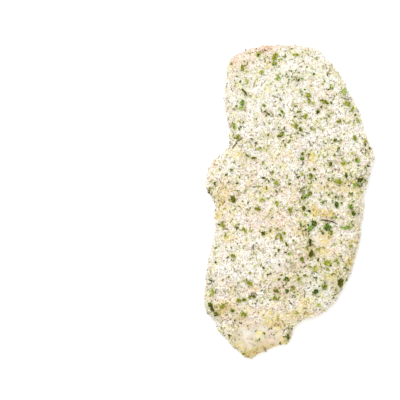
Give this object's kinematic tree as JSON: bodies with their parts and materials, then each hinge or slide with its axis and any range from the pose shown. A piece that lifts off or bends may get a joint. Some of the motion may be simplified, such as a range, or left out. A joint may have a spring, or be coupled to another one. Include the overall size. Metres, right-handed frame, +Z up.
{
  "type": "breaded chicken schnitzel",
  "caption": "Raw chicken schnitzel beaten flat, in a pale coat of fine crumbs and chopped parsley, with side lobes, a furrowed top and a thin folded tail.",
  "frame": {"origin": "middle of the footprint, on the surface the schnitzel lies on", "axes": "+Z up out of the shown side, +Y along the length towards the broad end, +X to the right seen from above"},
  "size_m": [0.0974, 0.18, 0.0127],
  "materials": {
    "coat": null
  },
  "bodies": {
    "root": {"schnitzel": "coat"}
  },
  "joints": []
}
